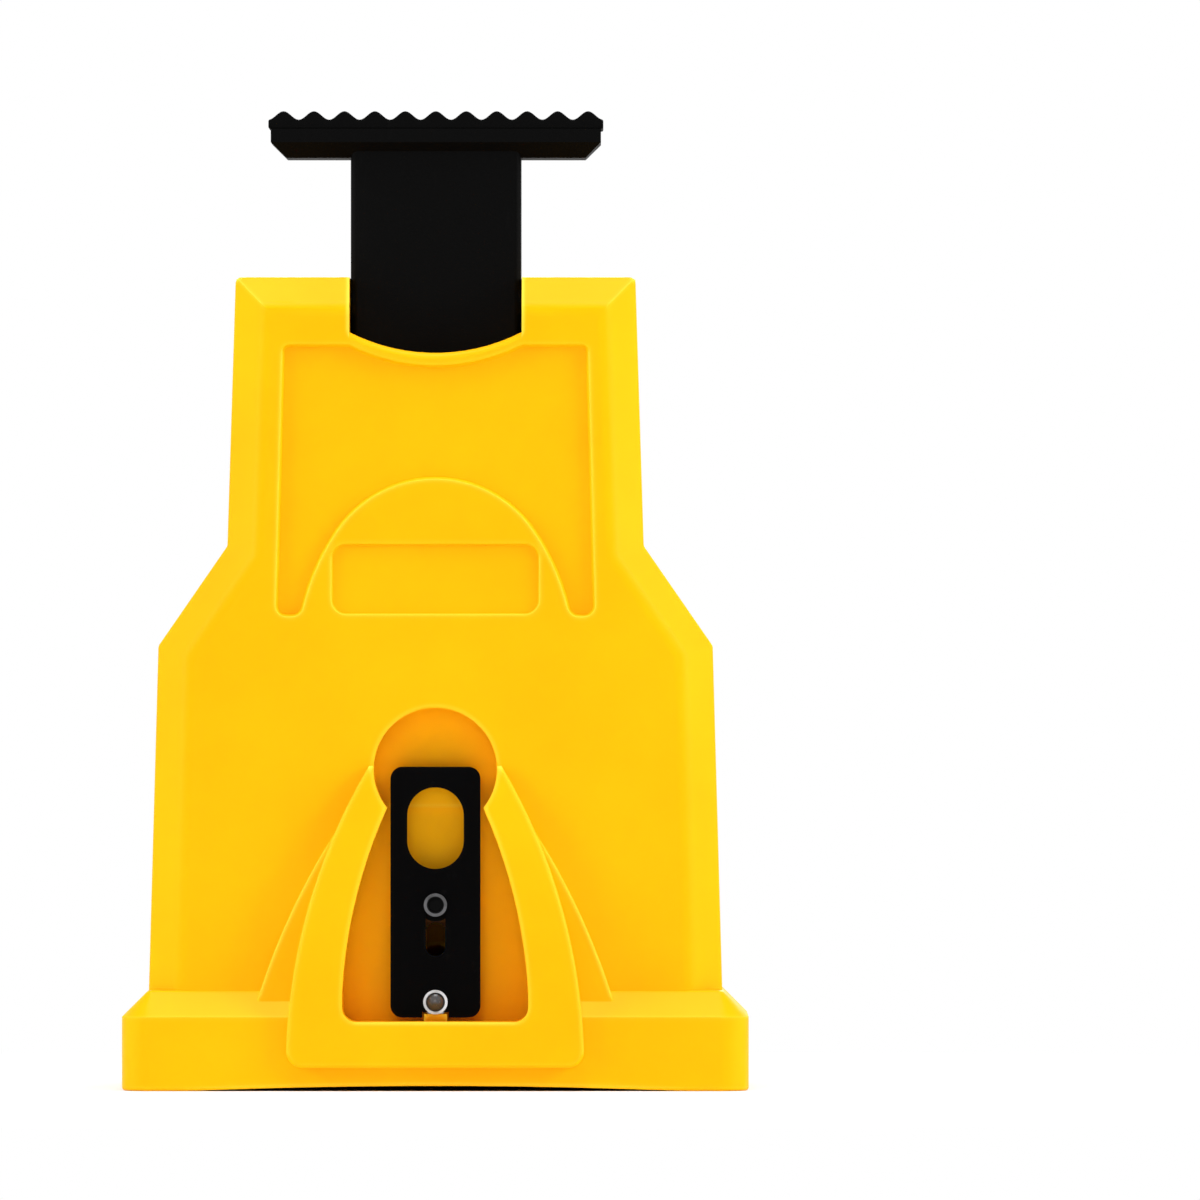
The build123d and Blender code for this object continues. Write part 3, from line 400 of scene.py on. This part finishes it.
paints = {
    "yellow_shell": makeYellowShell(yellowLook),
    "black_moulding": makeBlackMoulding("blackMoulding", blackLook["plunger"], mouldingLook),
    "grey_carrier": makeBlackMoulding("greyCarrier", blackLook["carrier"], mouldingLook),
    "black_tread": makeBlackMoulding("blackTread", blackLook["tread"], mouldingLook),
    "pink_stone": makePinkStone(stoneLook),
    "black_plate": makeBlackPlate(plateLook),
    "bright_steel": makeSteel("brightSteel", steelLook["bright"], metalLook),
    "spring_steel": makeSteel("springSteel", steelLook["spring"], metalLook),
}
headPaints = {
    "guide_stud": makeSteel("studSteel", steelLook["stud"], metalLook),
    "latch_pin": makeSteel("rivetSteel", steelLook["rivet"], metalLook),
}
print("finishes made:", len(paints) + len(headPaints))

slotOf = {part["node"]: part["material_slot"] for part in frame["record"]["subparts"]}
bodyOf = {node: body for body, nodes in frame["record"]["behaviour"]["bodies"].items() for node in nodes}


def place(piece, node):
    # the piece stands for a CAD node and rides on its body
    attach(piece, bodyOf[node])
    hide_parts(node)


# points nearer than this are one point
mergeReach = 2e-6


def mergedMesh(node):
    # the CAD node's mesh with shared points, so that smooth shading can run across its faces
    mesh = frame["nodes"][node].data.copy()
    for name in ("custom_normal", "sharp_edge", "sharp_face"):
        if name in mesh.attributes:
            mesh.attributes.remove(mesh.attributes[name])
    work = bmesh.new()
    work.from_mesh(mesh)
    bmesh.ops.remove_doubles(work, verts=work.verts, dist=mergeReach)
    work.to_mesh(mesh)
    work.free()
    mesh.materials.clear()
    mesh.materials.append(headPaints.get(node, paints[slotOf[node]]))
    return mesh


def newPiece(name, mesh):
    piece = bpy.data.objects.new(name, mesh)
    bpy.context.scene.collection.objects.link(piece)
    return piece


def plainMesh(piece):
    # the evaluated result becomes the piece's own mesh
    graph = bpy.context.evaluated_depsgraph_get()
    made = bpy.data.meshes.new_from_object(piece.evaluated_get(graph))
    piece.modifiers.clear()
    piece.data = made


def smoothSkin(piece, angle):
    piece.data.shade_smooth()
    piece.data.set_sharp_from_angle(angle=radians(angle))
    weight = piece.modifiers.new("flatFaces", "WEIGHTED_NORMAL")
    weight.mode = "FACE_AREA_WITH_ANGLE"
    weight.keep_sharp = True
    plainMesh(piece)


# pieces whose CAD shape is right: merged so that rounds shade smoothly
skins = {
    "front_cover": {"name": "frontCoverSkin", "angle": 24},
    "rear_body": {"name": "rearBodySkin", "angle": 24},
    "plunger": {"name": "plungerSkin", "angle": 30},
    "stone_carrier": {"name": "carrierSkin", "angle": 30},
    "hinge_pin_left": {"name": "hingePinLeftSkin", "angle": 30},
    "hinge_pin_right": {"name": "hingePinRightSkin", "angle": 30},
    "latch_plate": {"name": "latchPlateSkin", "angle": 30},
    "latch_pin": {"name": "latchPinSkin", "angle": 40},
    "pin_collar": {"name": "pinCollarSkin", "angle": 30},
    "guide_stud": {"name": "guideStudSkin", "angle": 30},
    "friction_washer": {"name": "frictionWasherSkin", "angle": 30},
}
for node, skin in skins.items():
    piece = newPiece(skin["name"], mergedMesh(node))
    smoothSkin(piece, skin["angle"])
    place(piece, node)
print("skins made:", len(skins))


class GeoTree(Wiring):
    # a geometry tree with named inputs, run once on a piece
    def __init__(self, name, inputs):
        self.group = bpy.data.node_groups.new(name, "GeometryNodeTree")
        super().__init__(self.group)
        self.sockets = {}
        self.values = inputs
        self.group.interface.new_socket("Geometry", in_out="INPUT", socket_type="NodeSocketGeometry")
        self.group.interface.new_socket("Geometry", in_out="OUTPUT", socket_type="NodeSocketGeometry")
        for key, value in inputs.items():
            kind = "NodeSocketInt" if isinstance(value, int) else "NodeSocketFloat"
            self.sockets[key] = self.group.interface.new_socket(key, in_out="INPUT", socket_type=kind)
        self.source = self.tree.nodes.new("NodeGroupInput")

    def given(self, key):
        return Value(self, self.source.outputs[key])

    def close(self, geometry, material):
        whole = self.node("GeometryNodeRealizeInstances", None, {0: geometry})
        coated = self.node("GeometryNodeSetMaterial", None, {"Geometry": whole, "Material": material})
        self.node("NodeGroupOutput", None, {0: coated})

    def run(self, piece):
        modifier = piece.modifiers.new(self.group.name, "NODES")
        modifier.node_group = self.group
        for key, socket in self.sockets.items():
            modifier[socket.identifier] = self.values[key]
        plainMesh(piece)


# ridged tread on the push head
treadLook = {
    "ridgeCount": 11,
    "ridgeHeight": 0.00143,
    "stepsPerRidge": 14,
    "edgeRound": 0.00025,
    "edgeSegments": 2,
    "edgeAngle": 50,
    "smoothAngle": 40,
}


def makeTread(look):
    low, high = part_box("tread_pad")
    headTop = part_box("plunger")[1].z
    width, depth = high.x - low.x, high.y - low.y
    ridge = look["ridgeHeight"]
    body = high.z - ridge - headTop
    tree = GeoTree("treadRidges", {
        "padWidth": width,
        "padDepth": depth,
        "padHeight": body,
        "padBase": headTop,
        "ridgeHeight": ridge,
        "ridgePitch": width / look["ridgeCount"],
        "lengthSteps": look["ridgeCount"] * look["stepsPerRidge"] + 1,
    })
    size = tree.node("ShaderNodeCombineXYZ", None, {
        "X": tree.given("padWidth"), "Y": tree.given("padDepth"), "Z": tree.given("padHeight")})
    block = tree.node("GeometryNodeMeshCube", None, {
        "Size": size, "Vertices X": tree.given("lengthSteps"), "Vertices Y": 2, "Vertices Z": 2})
    spot = tree.node("GeometryNodeInputPosition")
    along = tree.node("ShaderNodeSeparateXYZ", None, {0: spot}, "X")
    up = tree.node("ShaderNodeSeparateXYZ", None, {0: spot}, "Z")
    turn = (along / tree.given("ridgePitch") + 0.5 * look["ridgeCount"]) * tau
    wave = tree.node("ShaderNodeMath", {"operation": "COSINE"}, {0: turn})
    rise = (0.5 - wave * 0.5) * tree.given("ridgeHeight") * (up > 0.0)
    height = rise + tree.given("padHeight") * 0.5 + tree.given("padBase")
    lift = tree.node("ShaderNodeCombineXYZ", None, {"Z": height})
    ridged = tree.node("GeometryNodeSetPosition", None, {"Geometry": block, "Offset": lift})
    tree.close(ridged, paints["black_tread"])
    piece = newPiece("treadRidges", bpy.data.meshes.new("treadRidges"))
    tree.run(piece)
    bevel = piece.modifiers.new("softEdge", "BEVEL")
    bevel.width = look["edgeRound"]
    bevel.segments = look["edgeSegments"]
    bevel.limit_method = "ANGLE"
    bevel.angle_limit = radians(look["edgeAngle"])
    plainMesh(piece)
    smoothSkin(piece, look["smoothAngle"])
    place(piece, "tread_pad")
    print("tread ridges:", look["ridgeCount"])


makeTread(treadLook)


# coil spring with closed end turns
springLook = {
    "wire": 0.0009,
    "turns": 9,
    "stepsPerTurn": 28,
    "closedShare": 0.8,
    "wireSides": 10,
    "travel": 0.010,
    "smoothAngle": 50,
}


def makeSpring(look):
    low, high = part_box("return_spring")
    wire = look["wire"]
    rise = high.z - low.z - wire
    tree = GeoTree("coilSpring", {
        "coilRadius": (high.x - low.x - wire) / 2,
        "coilRise": rise,
        "coilFoot": low.z + wire / 2,
        "coilTurns": float(look["turns"]),
        "wireRadius": wire / 2,
        "closedShare": look["closedShare"],
        "turnSteps": look["stepsPerTurn"],
        "wireSides": look["wireSides"],
    })
    coil = tree.node("GeometryNodeCurveSpiral", None, {
        "Resolution": tree.given("turnSteps"), "Rotations": tree.given("coilTurns"),
        "Start Radius": tree.given("coilRadius"), "End Radius": tree.given("coilRadius"), "Height": 0.0})
    share = tree.node("GeometryNodeSplineParameter")
    # a smooth step is flat at both ends, which closes the end turns
    eased = share * share * (3.0 - 2.0 * share)
    climbed = share + (eased - share) * tree.given("closedShare")
    height = climbed * tree.given("coilRise") + tree.given("coilFoot")
    lift = tree.node("ShaderNodeCombineXYZ", None, {"Z": height})
    risen = tree.node("GeometryNodeSetPosition", None, {"Geometry": coil, "Offset": lift})
    ring = tree.node("GeometryNodeCurvePrimitiveCircle", None, {
        "Resolution": tree.given("wireSides"), "Radius": tree.given("wireRadius")})
    tube = tree.node("GeometryNodeCurveToMesh", None, {
        "Curve": risen, "Profile Curve": ring, "Fill Caps": True})
    tree.close(tube, paints["spring_steel"])
    piece = newPiece("coilSpring", bpy.data.meshes.new("coilSpring"))
    tree.run(piece)
    smoothSkin(piece, look["smoothAngle"])
    place(piece, "return_spring")
    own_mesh(piece)
    print("spring turns:", look["turns"])


makeSpring(springLook)


# pink stone with loose grit standing in its surface
gritLook = {
    "density": 700000.0,
    "grainRadius": 0.00017,
    "grainDivisions": 1,
    "least": 0.45,
    "most": 1.15,
    "seed": 7,
    "smoothAngle": 35,
}


def makeStone(look):
    tree = GeoTree("stoneGrit", {
        "gritDensity": look["density"],
        "grainRadius": look["grainRadius"],
        "leastSize": look["least"],
        "mostSize": look["most"],
        "gritSeed": look["seed"],
    })
    block = Value(tree, tree.source.outputs["Geometry"])
    spots = tree.node("GeometryNodeDistributePointsOnFaces", {"distribute_method": "RANDOM"}, {
        "Mesh": block, "Density": tree.given("gritDensity"), "Seed": tree.given("gritSeed")})
    grain = tree.node("GeometryNodeMeshIcoSphere", None, {
        "Radius": tree.given("grainRadius"), "Subdivisions": look["grainDivisions"]})
    # this node's sockets for plain numbers go by number too
    size = tree.node("FunctionNodeRandomValue", {"data_type": "FLOAT"}, {
        2: tree.given("leastSize"), 3: tree.given("mostSize"), "Seed": tree.given("gritSeed")}, 1)
    grains = tree.node("GeometryNodeInstanceOnPoints", None, {
        "Points": spots, "Instance": grain, "Scale": size})
    whole = tree.node("GeometryNodeJoinGeometry")
    join = whole.socket.node
    tree.tree.links.new(block.socket, join.inputs[0])
    tree.tree.links.new(grains.socket, join.inputs[0])
    tree.close(whole, paints["pink_stone"])
    piece = newPiece("stoneGrit", mergedMesh("sharpening_stone"))
    tree.run(piece)
    smoothSkin(piece, look["smoothAngle"])
    place(piece, "sharpening_stone")
    print("stone faces:", len(piece.data.polygons))


makeStone(gritLook)

# floor, light and camera
studio = {
    "floorSize": 12.0,
    "floorShade": 0.92,
    "shadowShare": 0.45,
    "shadowSpan": (0.06, 0.26),
    "underHalf": (0.0526, 0.0275, 1.0),
    "underSpan": (0.97, 1.0),
    "background": (1, 1, 1, 1),
    "backgroundStrength": 1.0,
    "worldStrength": 0.14,
    "lamps": [
        {"name": "leftLamp", "at": (-2.0, -0.6, 0.95), "size": 0.9, "power": 30.5},
        {"name": "rightLamp", "at": (2.0, -0.6, 0.95), "size": 0.9, "power": 37.5},
        {"name": "topLamp", "at": (0.0, -0.3, 1.95), "size": 0.7, "power": 22.5},
        {"name": "frontLamp", "at": (-0.3, -2.6, 0.9), "size": 1.0, "power": 9.4},
        {"name": "backLamp", "at": (0.3, 2.2, 1.2), "size": 1.0, "power": 30.0},
    ],
    "aim": (0.0, 0.0, 0.08),
}


def backgroundRays(wiring):
    # 1 for the rays that see the background itself, straight, in a reflection or through glass
    kinds = ("Is Camera Ray", "Is Glossy Ray", "Is Transmission Ray")
    seen, mirrored, through = [wiring.node("ShaderNodeLightPath", None, None, kind) for kind in kinds]
    return wiring.node("ShaderNodeMath", {"operation": "MINIMUM"}, {0: seen + mirrored + through, 1: 1.0})


def makeStudio(look):
    half = look["floorSize"] / 2
    corners = [(-half, -half, 0), (half, -half, 0), (half, half, 0), (-half, half, 0)]
    mesh = bpy.data.meshes.new("floor")
    mesh.from_pydata(corners, [], [(0, 1, 2, 3)])
    floor = newPiece("floor", mesh)
    paint = Paint("paleFloor")
    shade = look["floorShade"]
    matt = paint.node("ShaderNodeBsdfDiffuse", None, {"Color": (shade, shade, shade, 1)})
    white = paint.node("ShaderNodeEmission", None, {
        "Color": look["background"], "Strength": look["backgroundStrength"]})
    near = 1.0 - paint.spread(paint.length(paint.place), *look["shadowSpan"])
    # straight under the base the floor is plain, so the gap there stays dark
    scaled = paint.vectors("DIVIDE", paint.place, look["underHalf"])
    sides = paint.node("ShaderNodeVectorMath", {"operation": "ABSOLUTE"}, {0: scaled})
    farther = paint.larger(paint.part(sides, "X"), paint.part(sides, "Y"))
    under = 1.0 - paint.spread(farther, *look["underSpan"])
    shown = paint.larger(near * look["shadowShare"], under)
    seen = backgroundRays(paint) * (1.0 - shown)
    mixed = paint.node("ShaderNodeMixShader", None, {0: seen, 1: matt, 2: white})
    paint.node("ShaderNodeOutputMaterial", None, {"Surface": mixed})
    mesh.materials.append(paint.material)

    world = bpy.data.worlds.new("studioWorld")
    world.use_nodes = True
    bpy.context.scene.world = world
    skyWiring = Wiring(world.node_tree)
    glow = backgroundRays(skyWiring)
    strength = look["worldStrength"] + glow * (look["backgroundStrength"] - look["worldStrength"])
    sky = skyWiring.node("ShaderNodeBackground", None, {"Color": look["background"], "Strength": strength})
    skyWiring.node("ShaderNodeOutputWorld", None, {"Surface": sky})

    for lamp in look["lamps"]:
        light = bpy.data.lights.new(lamp["name"], "AREA")
        light.shape = "SQUARE"
        light.size = lamp["size"]
        light.energy = lamp["power"]
        holder = bpy.data.objects.new(lamp["name"], light)
        bpy.context.scene.collection.objects.link(holder)
        holder.location = lamp["at"]
        toward = Vector(look["aim"]) - Vector(lamp["at"])
        holder.rotation_euler = toward.to_track_quat("-Z", "Y").to_euler()
    print("studio lamps:", len(look["lamps"]))


makeStudio(studio)

# the picture's scale is set at the face of the front cover
lens = {
    "pixels": 1200,
    "metresPerPixel": 0.000168,
    "axisPixel": 435.5,
    "floorPixel": 1090.0,
    "distance": 3.2,
    "facePlane": -0.018,
    "sideStep": 0.0276,
    "height": 0.0823,
    "sensor": 36.0,
    "tilt": 90,
}


def makeCamera(look):
    data = bpy.data.cameras.new("frontCamera")
    camera = bpy.data.objects.new("frontCamera", data)
    bpy.context.scene.collection.objects.link(camera)
    frameWidth = look["pixels"] * look["metresPerPixel"]
    middleX = (look["pixels"] / 2 - look["axisPixel"]) * look["metresPerPixel"]
    middleZ = (look["floorPixel"] - look["pixels"] / 2) * look["metresPerPixel"]
    data.sensor_width = look["sensor"]
    data.lens = look["sensor"] * look["distance"] / frameWidth
    data.shift_x = (middleX - look["sideStep"]) / frameWidth
    data.shift_y = (middleZ - look["height"]) / frameWidth
    camera.location = (look["sideStep"], look["facePlane"] - look["distance"], look["height"])
    camera.rotation_euler = (radians(look["tilt"]), 0, 0)
    bpy.context.scene.camera = camera
    print("camera at", [round(v, 3) for v in camera.location])


makeCamera(lens)

bpy.context.scene.view_settings.view_transform = "Standard"
